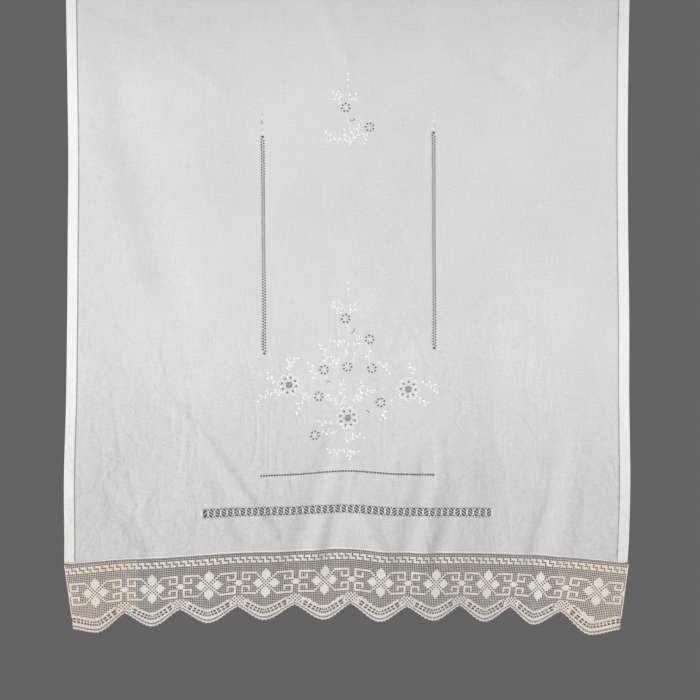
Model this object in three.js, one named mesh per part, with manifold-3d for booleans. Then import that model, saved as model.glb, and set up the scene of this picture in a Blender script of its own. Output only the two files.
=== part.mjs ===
// Rod pocket curtain: one width of thin white cloth with drawn-thread openwork and a
// scalloped crochet lace edging. Millimetres, +Z up, +X to the right along the rod, +Y to the window behind.
// The origin is the middle of the rod line, inside the pocket. A "drop" is a length measured down from it.
import * as THREE from "three";
import { mergeGeometries, mergeVertices } from "three/addons/utils/BufferGeometryUtils.js";
import Module from "manifold-3d";

const wasm = await Module();
wasm.setup();

// Driving dimensions
const clothWidth = 1128;
const clothThickness = 1.2;
const sideHem = { width: 20, extraThickness: 0.9, step: 1 };
const seamDrop = 1165; // where the cloth ends at the middle of the width
const laceThickness = 1.6;
const pieceGap = 0.3;
const pocket = { radius: 13, neckDrop: 30, neckLength: 2, arcSteps: 14, thickness: clothThickness };

// Columns and rows of the cloth's faces: finer where the folds are.
const clothColumnStep = 24;
const clothRows = [
  { toDrop: 240, step: 52 },
  { toDrop: 880, step: 92 },
  { toDrop: seamDrop, step: 28.5 },
];
const laceSpread = 18; // each end of the lace hangs this much further out at the seam than at the foot
const laceColumnsPerScallop = 8;
const laceRows = 2;

// Side edges of the cloth, as far out from the middle as they hang.
const sideEdges = [
  { at: 32, left: 564, right: 564 },
  { at: 230, left: 561, right: 561 },
  { at: 390, left: 559, right: 560 },
  { at: 550, left: 560, right: 561 },
  { at: 710, left: 561, right: 563 },
  { at: 870, left: 563, right: 563 },
  { at: 1030, left: 567, right: 565 },
  { at: 1150, left: 566, right: 562 },
  { at: 1195, left: 566, right: 559 },
];

// How far the seam at the foot of the cloth sags below its highest point, across the width.
const seamSag = [
  { at: -566, sag: 32 },
  { at: -460, sag: 23 },
  { at: -364, sag: 19 },
  { at: -220, sag: 9 },
  { at: -110, sag: 6 },
  { at: 0, sag: 0 },
  { at: 92, sag: 7 },
  { at: 240, sag: 9 },
  { at: 330, sag: 12 },
  { at: 404, sag: 15 },
  { at: 480, sag: 21 },
  { at: 562, sag: 30 },
];
const sagStartsAtDrop = 560; // above this the threads run level

// The ten scallops of the lace: the notch at the left of each, and its lowest point.
const scallops = [
  { notch: -548, notchDrop: 1326, middle: -502, footDrop: 1334 },
  { notch: -446, notchDrop: 1296, middle: -392, footDrop: 1323 },
  { notch: -336, notchDrop: 1289, middle: -280, footDrop: 1316 },
  { notch: -220, notchDrop: 1283, middle: -168, footDrop: 1310 },
  { notch: -106, notchDrop: 1279, middle: -48, footDrop: 1309 },
  { notch: 6, notchDrop: 1276, middle: 64, footDrop: 1312 },
  { notch: 118, notchDrop: 1282, middle: 172, footDrop: 1310 },
  { notch: 224, notchDrop: 1281, middle: 274, footDrop: 1314 },
  { notch: 326, notchDrop: 1285, middle: 372, footDrop: 1320 },
  { notch: 426, notchDrop: 1293, middle: 486, footDrop: 1339 },
];
const lastCorner = { notch: 544, notchDrop: 1328 };

// Main folds. Each follows a line from (x0, drop0) to (x1, drop1) and fades out "reach" to either side.
// "forward" is how far it stands out to the room, below zero for a trough; "start" is its share at first.
const folds = [
  { name: "left trough", x0: -476, drop0: 170, x1: -350, drop1: 660, reach: 42, forward: -6, start: 0.7 },
  { name: "left swell", x0: -520, drop0: 260, x1: -430, drop1: 620, reach: 46, forward: 5, start: 0.6 },
  { name: "left top pull", x0: -520, drop0: 70, x1: -400, drop1: 140, reach: 24, forward: -3, start: 1 },
  { name: "left shoulder", x0: -350, drop0: 175, x1: -262, drop1: 236, reach: 26, forward: 4, start: 0.8 },
  { name: "middle top pull", x0: -56, drop0: 70, x1: 0, drop1: 200, reach: 26, forward: 4, start: 1 },
  { name: "right top pull", x0: 556, drop0: 70, x1: 420, drop1: 215, reach: 26, forward: 5, start: 1 },
  { name: "second right pull", x0: 480, drop0: 80, x1: 310, drop1: 205, reach: 30, forward: -4, start: 1 },
  { name: "right shoulder", x0: 224, drop0: 156, x1: 352, drop1: 250, reach: 26, forward: -4, start: 0.7 },
  { name: "right trough", x0: 284, drop0: 690, x1: 300, drop1: 1180, reach: 40, forward: -6, start: 0.3 },
  { name: "left ridge", x0: -342, drop0: 888, x1: -150, drop1: 1140, reach: 24, forward: 6, start: 0.6 },
  { name: "below ridge", x0: -300, drop0: 950, x1: -205, drop1: 1150, reach: 30, forward: -4, start: 0.4 },
  { name: "corner dip", x0: -486, drop0: 1050, x1: -392, drop1: 1170, reach: 28, forward: -5, start: 0.3 },
  { name: "inner left dip", x0: -16, drop0: 930, x1: -112, drop1: 1200, reach: 34, forward: -8, start: 0.4 },
  { name: "middle crest", x0: -10, drop0: 960, x1: -76, drop1: 1210, reach: 26, forward: 6, start: 0.2 },
  { name: "middle trough", x0: -6, drop0: 960, x1: -38, drop1: 1210, reach: 26, forward: -6, start: 0.3 },
  { name: "middle foot ridge", x0: 20, drop0: 1080, x1: 76, drop1: 1190, reach: 24, forward: 6, start: 0.4 },
  { name: "inner right dip", x0: 166, drop0: 980, x1: 112, drop1: 1200, reach: 30, forward: -8, start: 0.4 },
  { name: "inner rise", x0: 186, drop0: 1000, x1: 146, drop1: 1210, reach: 24, forward: 6, start: 0.3 },
  { name: "right crease", x0: 226, drop0: 1030, x1: 180, drop1: 1200, reach: 24, forward: -4, start: 0.4 },
  { name: "right foot dip", x0: 430, drop0: 950, x1: 376, drop1: 1200, reach: 34, forward: -8, start: 0.3 },
  { name: "right foot crest", x0: 462, drop0: 960, x1: 420, drop1: 1210, reach: 34, forward: 6, start: 0.3 },
];

// Slow swing of the whole width, which grows towards the foot.
const swings = [
  { length: 620, forward: 5, shift: 0.9 },
  { length: 365, forward: 3, shift: -0.6 },
];
const swingStart = 0.2;

// Openwork: the wide band, the narrow line, the two ladders and the arches of the lace.
const band = { from: -290, to: 290, drop: 1087, height: 13.4, units: 44, widest: 9.6, narrowest: 4.4 };
const line = { from: -174, to: 174, drop: 1012, height: 4.2, units: 35, bar: 2 };
const ladders = [
  { topX: -172, footX: -168, topDrop: 342, footDrop: 777 },
  { topX: 173, footX: 173, topDrop: 334, footDrop: 766 },
];
const ladderHole = { width: 5.4, units: 43, bar: 2 };
const arch = {
  units: 13,
  fromShare: 0.1,
  toShare: 0.91,
  endRaise: 14,
  middleRaise: 19.3,
  height: 9.4,
  bar: 1.8,
};
const cutterDepth = 120;

// Smooth value of one column of a table whose rows are ordered by "at".
function valueAt(table, column, at) {
  const last = table.length - 1;
  if (at <= table[0].at) return table[0][column];
  if (at >= table[last].at) return table[last][column];
  const i = table.findIndex((row) => row.at > at) - 1;
  const slope = (k) => {
    const before = table[Math.max(k - 1, 0)];
    const after = table[Math.min(k + 1, last)];
    return (after[column] - before[column]) / (after.at - before.at);
  };
  const step = table[i + 1].at - table[i].at;
  const t = (at - table[i].at) / step;
  const fromLeft = (1 + 2 * t) * (1 - t) ** 2 * table[i][column] + t * (1 - t) ** 2 * step * slope(i);
  const fromRight = t ** 2 * (3 - 2 * t) * table[i + 1][column] + t ** 2 * (t - 1) * step * slope(i + 1);
  return fromLeft + fromRight;
}

// How far one fold stands forward at a point of the cloth.
function foldForward(fold, x, drop) {
  const dx = fold.x1 - fold.x0;
  const dDrop = fold.drop1 - fold.drop0;
  const along = ((x - fold.x0) * dx + (drop - fold.drop0) * dDrop) / (dx * dx + dDrop * dDrop);
  const share = THREE.MathUtils.clamp(along, 0, 1);
  const away = Math.hypot(x - fold.x0 - share * dx, drop - fold.drop0 - share * dDrop) / fold.reach;
  if (away >= 1) return 0;
  return fold.forward * THREE.MathUtils.lerp(fold.start, 1, share) * (1 - away * away) ** 2;
}

function forwardAt(x, drop) {
  const low = Math.max(0, drop / seamDrop - swingStart) / (1 - swingStart);
  const swing = swings.reduce(
    (sum, s) => sum + s.forward * low * low * Math.sin((x / s.length) * 2 * Math.PI + s.shift),
    0,
  );
  return folds.reduce((sum, fold) => sum + foldForward(fold, x, drop), swing);
}

// The sag of a level thread: nothing high up, the whole seam sag at the foot.
function sagAt(x, drop) {
  const share = THREE.MathUtils.clamp((drop - sagStartsAtDrop) / (seamDrop - sagStartsAtDrop), 0, 1);
  return valueAt(seamSag, "sag", x) * share ** 1.5;
}

// A closed sheet: a box of width by height faces whose corners are moved to where the cloth hangs.
// place(u, v) gives {x, drop}, thicknessAt(u, v) the thickness there. The front faces the room.
function sheetGeometry(columns, rows, place, thicknessAt) {
  const box = new THREE.BoxGeometry(1, 1, 1, columns.length - 1, 1, rows.length - 1);
  box.deleteAttribute("normal");
  box.deleteAttribute("uv");
  const sheet = mergeVertices(box, 1e-4);
  const points = sheet.attributes.position;
  for (let i = 0; i < points.count; i++) {
    const u = columns[Math.round((points.getX(i) + 0.5) * (columns.length - 1))];
    const v = rows[Math.round((0.5 - points.getZ(i)) * (rows.length - 1))];
    const { x, drop } = place(u, v);
    const front = -forwardAt(x, drop) - clothThickness / 2;
    const back = front + thicknessAt(u, v);
    points.setXYZ(i, x, points.getY(i) < 0 ? front : back, -drop);
  }
  return sheet;
}

// Evenly stepped stations from one value to another, both included.
function stations(from, to, step) {
  const count = Math.max(1, Math.round((to - from) / step));
  return Array.from({ length: count + 1 }, (_, i) => from + ((to - from) * i) / count);
}

function clothPlace(u, v) {
  const drop = v + sagAt(u, v);
  const left = valueAt(sideEdges, "left", drop);
  const right = valueAt(sideEdges, "right", drop);
  return { x: (right - left) / 2 + (u / (clothWidth / 2)) * ((right + left) / 2), drop };
}

const hemLine = clothWidth / 2 - sideHem.width;
const clothColumns = [
  -clothWidth / 2,
  -hemLine,
  ...stations(-hemLine + sideHem.step, hemLine - sideHem.step, clothColumnStep),
  hemLine,
  clothWidth / 2,
];

function clothGeometry() {
  const top = pocket.neckDrop + pocket.neckLength + pieceGap;
  const rows = [top];
  for (const { toDrop, step } of clothRows) rows.push(...stations(rows.at(-1), toDrop, step).slice(1));
  const thicknessAt = (u) => clothThickness + (Math.abs(u) >= hemLine ? sideHem.extraThickness : 0);
  return sheetGeometry(clothColumns, rows, clothPlace, thicknessAt);
}

// Lace: u counts scallops from the left, v runs from 0 at the seam to 1 at the scalloped edge.
function laceEdge(u) {
  const i = Math.min(Math.floor(u), scallops.length - 1);
  const here = scallops[i];
  const next = scallops[i + 1] ?? lastCorner;
  const w = u - i;
  const side = w < 0.5 ? here : next;
  const share = Math.sin((Math.min(w, 1 - w) / 0.5) * (Math.PI / 2));
  return {
    x: THREE.MathUtils.lerp(side.notch, here.middle, Math.min(w, 1 - w) / 0.5),
    drop: THREE.MathUtils.lerp(side.notchDrop, here.footDrop, share),
  };
}

// The foot of the cloth between its columns, which the lace follows.
const clothFoot = clothColumns.map((u) => clothPlace(u, seamDrop));
function clothFootDrop(x) {
  const passed = clothFoot.filter((point) => point.x <= x).length;
  const i = THREE.MathUtils.clamp(passed, 1, clothFoot.length - 1);
  const [before, after] = [clothFoot[i - 1], clothFoot[i]];
  return before.drop + ((after.drop - before.drop) * (x - before.x)) / (after.x - before.x);
}

function lacePlace(u, v) {
  const foot = laceEdge(u);
  const seamX = foot.x + laceSpread * (foot.x / lastCorner.notch) ** 3;
  const seam = clothFootDrop(seamX) + pieceGap;
  return { x: THREE.MathUtils.lerp(seamX, foot.x, v), drop: THREE.MathUtils.lerp(seam, foot.drop, v) };
}

function laceGeometry() {
  const columns = stations(0, scallops.length, 1 / laceColumnsPerScallop);
  const rows = stations(0, 1, 1 / laceRows);
  return sheetGeometry(columns, rows, lacePlace, () => laceThickness);
}

// The pocket: the doubled cloth as it stands round a rod, closed at the stitch line, drawn along X.
function pocketGeometry() {
  const { radius, neckDrop, neckLength, arcSteps, thickness } = pocket;
  const outline = (r, neckHalf, foot) => {
    const touch = Math.asin(r / neckDrop); // where the straight sides leave the round top
    const points = [new THREE.Vector2(neckHalf, -foot)];
    for (let i = 0; i <= arcSteps; i++) {
      const angle = -touch + ((Math.PI + 2 * touch) * i) / arcSteps;
      points.push(new THREE.Vector2(r * Math.cos(angle), r * Math.sin(angle)));
    }
    points.push(new THREE.Vector2(-neckHalf, -foot));
    return points;
  };
  const section = new THREE.Shape(outline(radius, clothThickness, neckDrop + neckLength));
  section.holes.push(new THREE.Path(outline(radius - thickness, 0.1, neckDrop - 3 * thickness)));
  const width = clothWidth;
  const tube = new THREE.ExtrudeGeometry(section, { depth: width, bevelEnabled: false, steps: 1 });
  // The section is drawn in (y, z) and pulled along x.
  const turn = new THREE.Matrix4().set(0, 0, 1, -width / 2, 1, 0, 0, 0, 0, 1, 0, 0, 0, 0, 0, 1);
  return tube.applyMatrix4(turn);
}

function solidOf(geometry) {
  const bare = geometry.clone();
  for (const name of Object.keys(bare.attributes)) if (name !== "position") bare.deleteAttribute(name);
  const merged = mergeVertices(bare, 1e-4);
  return new wasm.Manifold(
    new wasm.Mesh({
      numProp: 3,
      vertProperties: merged.attributes.position.array,
      triVerts: new Uint32Array(merged.index.array),
    }),
  );
}

function geometryOf(solid) {
  const mesh = solid.getMesh();
  const geometry = new THREE.BufferGeometry();
  geometry.setAttribute("position", new THREE.BufferAttribute(mesh.vertProperties, 3));
  geometry.setIndex(new THREE.BufferAttribute(mesh.triVerts, 1));
  geometry.computeVertexNormals();
  return geometry;
}

// A prism through the cloth over an outline of {x, drop} corners.
function cutter(corners) {
  const outline = new THREE.Shape(corners.map(({ x, drop }) => new THREE.Vector2(x, -drop)));
  const prism = new THREE.ExtrudeGeometry(outline, { depth: cutterDepth, bevelEnabled: false });
  return prism.translate(0, 0, -cutterDepth / 2).rotateX(Math.PI / 2);
}

function cutThrough(geometry, cutters) {
  return geometryOf(solidOf(geometry).subtract(solidOf(mergeGeometries(cutters))));
}

// A hole of the openwork, its corners given in the flat cloth and placed with it.
function clothCutter(corners) {
  return cutter(corners.map(([u, v]) => clothPlace(u, v)));
}

function bandCutters() {
  const pitch = (band.to - band.from) / band.units;
  return Array.from({ length: band.units }, (_, i) => {
    const u = band.from + (i + 0.5) * pitch;
    const half = band.height / 2;
    return clothCutter([
      [u - band.narrowest / 2, band.drop - half],
      [u - band.widest / 2, band.drop],
      [u - band.narrowest / 2, band.drop + half],
      [u + band.narrowest / 2, band.drop + half],
      [u + band.widest / 2, band.drop],
      [u + band.narrowest / 2, band.drop - half],
    ]);
  });
}

// A four-cornered hole between two stations of a strip.
function slotCorners(u0, u1, v0, v1) {
  return [
    [u0, v0],
    [u0, v1],
    [u1, v1],
    [u1, v0],
  ];
}

function lineCutters() {
  const pitch = (line.to - line.from) / line.units;
  return Array.from({ length: line.units }, (_, i) => {
    const u = line.from + i * pitch;
    const ends = [u + line.bar / 2, u + pitch - line.bar / 2];
    return clothCutter(slotCorners(...ends, line.drop - line.height / 2, line.drop + line.height / 2));
  });
}

function ladderCutters({ topX, footX, topDrop, footDrop }) {
  const pitch = (footDrop - topDrop) / ladderHole.units;
  return Array.from({ length: ladderHole.units }, (_, i) => {
    const u = THREE.MathUtils.lerp(topX, footX, i / ladderHole.units);
    const ends = [topDrop + i * pitch + ladderHole.bar / 2, topDrop + (i + 1) * pitch - ladderHole.bar / 2];
    return clothCutter(slotCorners(u - ladderHole.width / 2, u + ladderHole.width / 2, ...ends));
  });
}

// The row of large holes that follows each scallop above its edge, highest over the middle.
function archCutters(scallop) {
  const archPoint = (share, up) => {
    const u = scallop + share;
    const edge = laceEdge(u);
    const top = lacePlace(u, 0);
    const raise = THREE.MathUtils.lerp(arch.endRaise, arch.middleRaise, Math.sin(Math.PI * share) ** 2);
    return lacePlace(u, 1 - (raise + up) / (edge.drop - top.drop));
  };
  const pitch = (arch.toShare - arch.fromShare) / arch.units;
  const bar = arch.bar / (scallops[1].notch - scallops[0].notch);
  return Array.from({ length: arch.units }, (_, i) => {
    const from = arch.fromShare + i * pitch + bar / 2;
    const to = arch.fromShare + (i + 1) * pitch - bar / 2;
    return cutter([
      archPoint(from, arch.height / 2),
      archPoint(from, -arch.height / 2),
      archPoint(to, -arch.height / 2),
      archPoint(to, arch.height / 2),
    ]);
  });
}

const whiteCloth = new THREE.MeshStandardMaterial({ color: 0xeeeeec, roughness: 0.9, metalness: 0 });
const crochet = new THREE.MeshStandardMaterial({ color: 0xe2dbd2, roughness: 0.95, metalness: 0 });

const curtain = new THREE.Group();

function addPiece(name, geometry, material) {
  const piece = new THREE.Mesh(geometry, material);
  piece.name = name;
  curtain.add(piece);
}

const panelCutters = [...bandCutters(), ...lineCutters(), ...ladders.flatMap(ladderCutters)];
const laceCutters = scallops.flatMap((_, i) => archCutters(i));

addPiece("panel", cutThrough(clothGeometry(), panelCutters), whiteCloth);
addPiece("rod_pocket", pocketGeometry(), whiteCloth);
addPiece("lace_edging", cutThrough(laceGeometry(), laceCutters), crochet);

export default curtain;
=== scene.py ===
# Rod pocket curtain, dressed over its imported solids. Every size in the tables is in millimetres.
import math
import random

import bmesh
import bpy
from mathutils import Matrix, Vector, noise


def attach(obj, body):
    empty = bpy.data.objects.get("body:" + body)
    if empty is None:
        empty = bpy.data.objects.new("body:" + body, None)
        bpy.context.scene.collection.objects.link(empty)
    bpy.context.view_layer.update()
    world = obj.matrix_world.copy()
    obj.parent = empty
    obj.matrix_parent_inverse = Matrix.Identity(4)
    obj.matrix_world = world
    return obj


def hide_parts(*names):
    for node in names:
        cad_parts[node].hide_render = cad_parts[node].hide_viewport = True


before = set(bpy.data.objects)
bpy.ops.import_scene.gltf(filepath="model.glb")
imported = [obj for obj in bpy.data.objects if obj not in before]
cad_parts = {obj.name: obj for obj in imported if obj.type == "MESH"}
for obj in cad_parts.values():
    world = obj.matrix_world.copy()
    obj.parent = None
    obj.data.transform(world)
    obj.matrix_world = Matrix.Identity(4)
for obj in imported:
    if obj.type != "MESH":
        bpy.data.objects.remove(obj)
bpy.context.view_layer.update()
mm = 0.001
rng = random.Random(41)


# A short table as a list of rows, each with its columns' names.
def table(columns, *rows):
    return [dict(zip(columns.split(), row)) for row in rows]


# How the cloth hangs: the same tables as the solids have.
cloth = {"halfWidth": 564, "topDrop": 28, "seamDrop": 1165, "sagStart": 560, "swingStart": 0.2,
         "columns": 178, "rows": 208, "thickness": 0.45}
sideEdges = table(
    "at left right",
    (32, 564, 564), (230, 561, 561), (390, 559, 560), (550, 560, 561), (710, 561, 563),
    (870, 563, 563), (1030, 567, 565), (1150, 566, 562), (1195, 566, 559),
)
seamSag = table(
    "at sag",
    (-566, 32), (-460, 23), (-364, 19), (-220, 9), (-110, 6), (0, 0),
    (92, 7), (240, 9), (330, 12), (404, 15), (480, 21), (562, 30),
)
swings = table("length forward shift", (620, 5, 0.9), (365, 3, -0.6))
folds = table(
    "x0 drop0 x1 drop1 reach forward start",
    (-476, 170, -350, 660, 60, -2.6, 0.7), (-520, 260, -430, 620, 60, 2, 0.6),
    (-520, 70, -400, 140, 24, -1.2, 1), (-350, 175, -262, 236, 26, 1.4, 0.8),
    (-56, 70, 0, 200, 26, 1.2, 1), (556, 70, 420, 215, 26, 2.6, 1),
    (480, 80, 310, 205, 30, -2.2, 1), (224, 156, 352, 250, 26, -1.8, 0.7),
    (284, 690, 300, 1180, 46, -3.2, 0.3), (-342, 888, -150, 1140, 20, 3.8, 0.6),
    (-300, 950, -205, 1150, 28, -3.4, 0.4), (-486, 1050, -392, 1170, 28, -4.5, 0.3),
    (-16, 930, -112, 1200, 34, -7.5, 0.4), (-10, 960, -76, 1210, 26, 5.5, 0.2),
    (-6, 960, -38, 1210, 26, -5.5, 0.3), (20, 1080, 76, 1190, 24, 6, 0.4),
    (166, 980, 112, 1200, 30, -7.5, 0.4), (186, 1000, 146, 1210, 24, 6, 0.3),
    (226, 1030, 180, 1200, 24, -4, 0.4), (430, 950, 376, 1200, 34, -8, 0.3),
    (462, 960, 420, 1210, 34, 6, 0.3),
)
# Fine creases that only the thin cloth shows, with a sharp ridge each.
creases = table(
    "x0 drop0 x1 drop1 reach forward start",
    (-340, 868, -262, 844, 10, 1.0, 0.4), (-210, 944, -136, 944, 11, 1.2, 0.4),
    (-202, 964, -110, 956, 10, -1.0, 0.5), (-342, 890, -302, 916, 10, 1.3, 0.4),
    (-302, 916, -150, 1136, 11, 1.9, 1), (-482, 1064, -396, 1164, 12, 1.3, 0.3),
    (-302, 1070, -302, 1164, 12, 1.0, 0.3), (44, 914, 98, 930, 10, 1.2, 0.3),
    (98, 930, 150, 916, 10, 1.2, 1), (224, 904, 258, 964, 10, 1.0, 0.4),
    (384, 750, 424, 836, 12, 0.8, 0.4), (-42, 864, -110, 936, 12, 0.8, 0.4),
    (24, 1096, 58, 1164, 11, 1.3, 0.4), (58, 1104, 98, 1170, 11, 1.2, 0.4),
    (180, 1010, 140, 1164, 11, 1.4, 0.4), (224, 1044, 164, 1164, 11, 1.2, 0.4),
    (454, 950, 404, 1164, 12, 1.5, 0.3), (524, 1046, 560, 1054, 10, 1.0, 0.6),
    (-496, 84, -416, 124, 12, 0.9, 0.6), (-262, 110, -210, 144, 11, 0.8, 0.5),
    (-242, 170, -210, 196, 11, 0.8, 0.5), (-350, 184, -282, 230, 12, 0.9, 0.6),
    (538, 84, 424, 204, 12, 1.0, 0.8), (464, 76, 318, 196, 12, 0.9, 0.8),
    (224, 156, 350, 250, 12, 0.9, 0.6), (-560, 456, 560, 450, 9, 0.35, 1),
    (-560, 776, 560, 778, 9, 0.35, 1), (-10, 930, -12, 1070, 9, 0.4, 1),
)


def clamp(value, low=0.0, high=1.0):
    return max(low, min(high, value))


def blendValue(a, b, share):
    return a + (b - a) * share


# Smooth value of one column of a table whose rows are ordered by "at".
def smoothValue(rows, column, at):
    last = len(rows) - 1
    if at <= rows[0]["at"]:
        return rows[0][column]
    if at >= rows[last]["at"]:
        return rows[last][column]
    i = next(k for k, row in enumerate(rows) if row["at"] > at) - 1

    def slope(k):
        before, after = rows[max(k - 1, 0)], rows[min(k + 1, last)]
        return (after[column] - before[column]) / (after["at"] - before["at"])

    step = rows[i + 1]["at"] - rows[i]["at"]
    t = (at - rows[i]["at"]) / step
    fromLeft = (1 + 2 * t) * (1 - t) ** 2 * rows[i][column] + t * (1 - t) ** 2 * step * slope(i)
    fromRight = t * t * (3 - 2 * t) * rows[i + 1][column] + t * t * (t - 1) * step * slope(i + 1)
    return fromLeft + fromRight


# Where a point lies beside a fold or crease: (how far off, in reaches; share along it).
def beside(fold, x, drop):
    dx, dDrop = fold["x1"] - fold["x0"], fold["drop1"] - fold["drop0"]
    along = clamp(((x - fold["x0"]) * dx + (drop - fold["drop0"]) * dDrop) / (dx * dx + dDrop * dDrop))
    away = math.hypot(x - fold["x0"] - along * dx, drop - fold["drop0"] - along * dDrop)
    return away / fold["reach"], along


# How far the cloth stands out to the room.
def forwardAt(x, drop):
    low = max(0.0, drop / cloth["seamDrop"] - cloth["swingStart"]) / (1 - cloth["swingStart"])
    forward = sum(
        swing["forward"] * low * low * math.sin(x / swing["length"] * 2 * math.pi + swing["shift"])
        for swing in swings
    )
    for fold in folds:
        away, along = beside(fold, x, drop)
        if away < 1:
            forward += fold["forward"] * blendValue(fold["start"], 1, along) * (1 - away * away) ** 2
    for crease in creases:
        away, along = beside(crease, x, drop)
        if away < 1:
            fade = min(1.0, 6 * (1 - along), 0.2 + 6 * along)
            forward += crease["forward"] * blendValue(crease["start"], 1, along) * fade * (1 - away) ** 2
    return forward + 0.8 * noise.noise(Vector((x / 95, drop / 150, 3.7)))


def sagAt(u, v):
    share = clamp((v - cloth["sagStart"]) / (cloth["seamDrop"] - cloth["sagStart"]))
    return smoothValue(seamSag, "sag", u) * share ** 1.5


# Where the side edges put the middle of the width, and how wide it is.
def widthAt(drop):
    left, right = smoothValue(sideEdges, "left", drop), smoothValue(sideEdges, "right", drop)
    return (right - left) / 2, (right + left) / 2


# A point of the flat cloth (u across, v down, from the rod line) as it hangs, "out" in front of it.
def hang(u, v, out=0.0):
    drop = v + sagAt(u, v)
    middle, half = widthAt(drop)
    x = middle + u / cloth["halfWidth"] * half
    return Vector((x, -forwardAt(x, drop) - out, -drop)) * mm


# The flat cloth's u and v for a point of the hanging cloth.
def flatOf(x, drop):
    middle, half = widthAt(drop)
    u = (x - middle) / half * cloth["halfWidth"]
    v = drop - sagAt(u, drop)
    return u, drop - sagAt(u, v)


class Wire:
    # One output of a material's node, so that shader maths reads as expressions.
    def __init__(self, tree, socket=None):
        self.tree, self.socket = tree, socket

    def node(self, kind, inputs=None, output=0, **settings):
        made = self.tree.nodes.new("ShaderNode" + kind)
        for name, value in settings.items():
            setattr(made, name, value)
        for name, value in (inputs or {}).items():
            if isinstance(value, Wire):
                self.tree.links.new(value.socket, made.inputs[name])
            else:
                made.inputs[name].default_value = value
        return Wire(self.tree, made.outputs[output])

    def maths(self, operation, a, b=0.0):
        return self.node("Math", {0: a, 1: b}, operation=operation)

    def __add__(self, other):
        return self.maths("ADD", self, other)

    def __sub__(self, other):
        return self.maths("SUBTRACT", self, other)

    def __rsub__(self, other):
        return self.maths("SUBTRACT", other, self)

    def __mul__(self, other):
        return self.maths("MULTIPLY", self, other)

    __radd__, __rmul__ = __add__, __mul__

    def size(self):
        return self.maths("ABSOLUTE", self)

    def wave(self, pitch):
        return self.maths("SINE", self * (2 * math.pi / pitch))

    def between(self, low, high):
        return self.node("MapRange", {"Value": self, "From Min": low, "From Max": high},
                         interpolation_type="SMOOTHSTEP")

    def tint(self, dark, pale):
        return self.node("Mix", {"Factor": self, "A": dark, "B": pale}, 2, data_type="RGBA")


# A new fabric material: its shader, and the wires of its place.
def startFabric(name, roughness, sheen):
    material = bpy.data.materials.new(name)
    material.use_nodes = True
    shader = material.node_tree.nodes["Principled BSDF"]
    shader.inputs["Roughness"].default_value = roughness
    shader.inputs["Specular IOR Level"].default_value = 0.2
    shader.inputs["Sheen Weight"].default_value = sheen
    place = Wire(material.node_tree).node("TexCoord", output=3)
    split = Wire(material.node_tree).node("SeparateXYZ", {0: place})
    x = split
    z = Wire(material.node_tree, split.socket.node.outputs[2])
    return material, shader, place, x, z


def cloudAt(place, scale, stretch=(1, 1, 1), detail=3.0):
    spread = place.node("Mapping", {"Vector": place, "Scale": stretch})
    return place.node("TexNoise", {"Vector": spread, "Scale": scale, "Detail": detail, "Roughness": 0.55})


def connect(shader, name, wire):
    wire.tree.links.new(wire.socket, shader.inputs[name])


def colour(red, green, blue):
    return (red, green, blue, 1.0)


clothLook = {
    "pitch": 0.9, "alpha": 0.57, "creaseHigh": 7.5,
    "pale": colour(0.81, 0.815, 0.81), "dull": colour(0.65, 0.655, 0.65),
}
doubledLook = {
    **clothLook, "alpha": 1.0, "pale": colour(0.715, 0.715, 0.705), "dull": colour(0.63, 0.635, 0.62),
}


# Plain weave: uneven threads both ways, small creases that grow towards the foot, and painted shade that
# darkens the colour towards the foot and near the top.
def makeCloth(name, look):
    material, shader, place, x, z = startFabric(name, 0.88, 0.25)
    across = cloudAt(place, 14, (1, 1, 60))
    down = cloudAt(place, 14, (60, 1, 1))
    broad = cloudAt(place, 5)
    grain = cloudAt(place, 260)
    tone = across * 0.35 + down * 0.35 + broad * 0.25 + grain * 0.55
    woven = tone.between(0.45, 1.05).tint(look["dull"], look["pale"])
    # ends: painted shade, the colour darkened towards the foot and near the top of the cloth, where less
    # light falls
    ends = 1 - (0 - z).between(0.74, 1.2) * 0.15 - z.between(-0.26, -0.04) * 0.11
    connect(shader, "Base Color", ends.tint(colour(0, 0, 0), woven))
    weave = x.wave(look["pitch"] * mm) * z.wave(look["pitch"] * mm)
    height = weave * 0.3 + across * 1.4 + down * 1.4
    spread = place.node("Mapping", {"Vector": place, "Rotation": (0, 0.5, 0), "Scale": (1, 1, 0.4)})
    rumple = place.node("TexNoise", {"Vector": spread, "Scale": 13, "Detail": 2, "Distortion": 0.8})
    crumple = place.node("TexNoise", {"Vector": place, "Scale": 21, "Detail": 2, "Distortion": 1.2})
    low = 0.22 + (0 - z).between(0.6, 1.05) * 0.78
    creased = ((rumple - 0.5).size() + (crumple - 0.5).size() * 0.6) * low
    soft = place.node("Bump", {"Height": creased, "Strength": 1.0, "Distance": look["creaseHigh"] * mm})
    bump = place.node("Bump", {"Height": height, "Strength": 0.35, "Distance": 0.4 * mm, "Normal": soft})
    connect(shader, "Normal", bump)
    shader.inputs["Alpha"].default_value = look["alpha"]
    return material


whiteCloth = makeCloth("white_cloth", clothLook)
doubledCloth = makeCloth("doubled_cloth", doubledLook)

cottonLook = {"dull": colour(0.73, 0.735, 0.73), "pale": colour(0.80, 0.805, 0.80)}


# White embroidery cotton with fine lines of thread.
def makeCotton():
    material, shader, place, x, z = startFabric("white_cotton", 0.6, 0.3)
    threads = (x + z).wave(0.5 * mm) * 0.5 + cloudAt(place, 500)
    connect(shader, "Base Color", cloudAt(place, 90).tint(cottonLook["dull"], cottonLook["pale"]))
    connect(shader, "Normal", place.node("Bump", {"Height": threads, "Strength": 0.3, "Distance": 0.3 * mm}))
    return material


laceLook = {
    "cream": colour(0.64, 0.60, 0.545), "shade": colour(0.54, 0.50, 0.455),
    "tan": colour(0.62, 0.545, 0.455), "solid": colour(0.60, 0.585, 0.55), "tanFrom": 395, "tanTo": 455,
}


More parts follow.
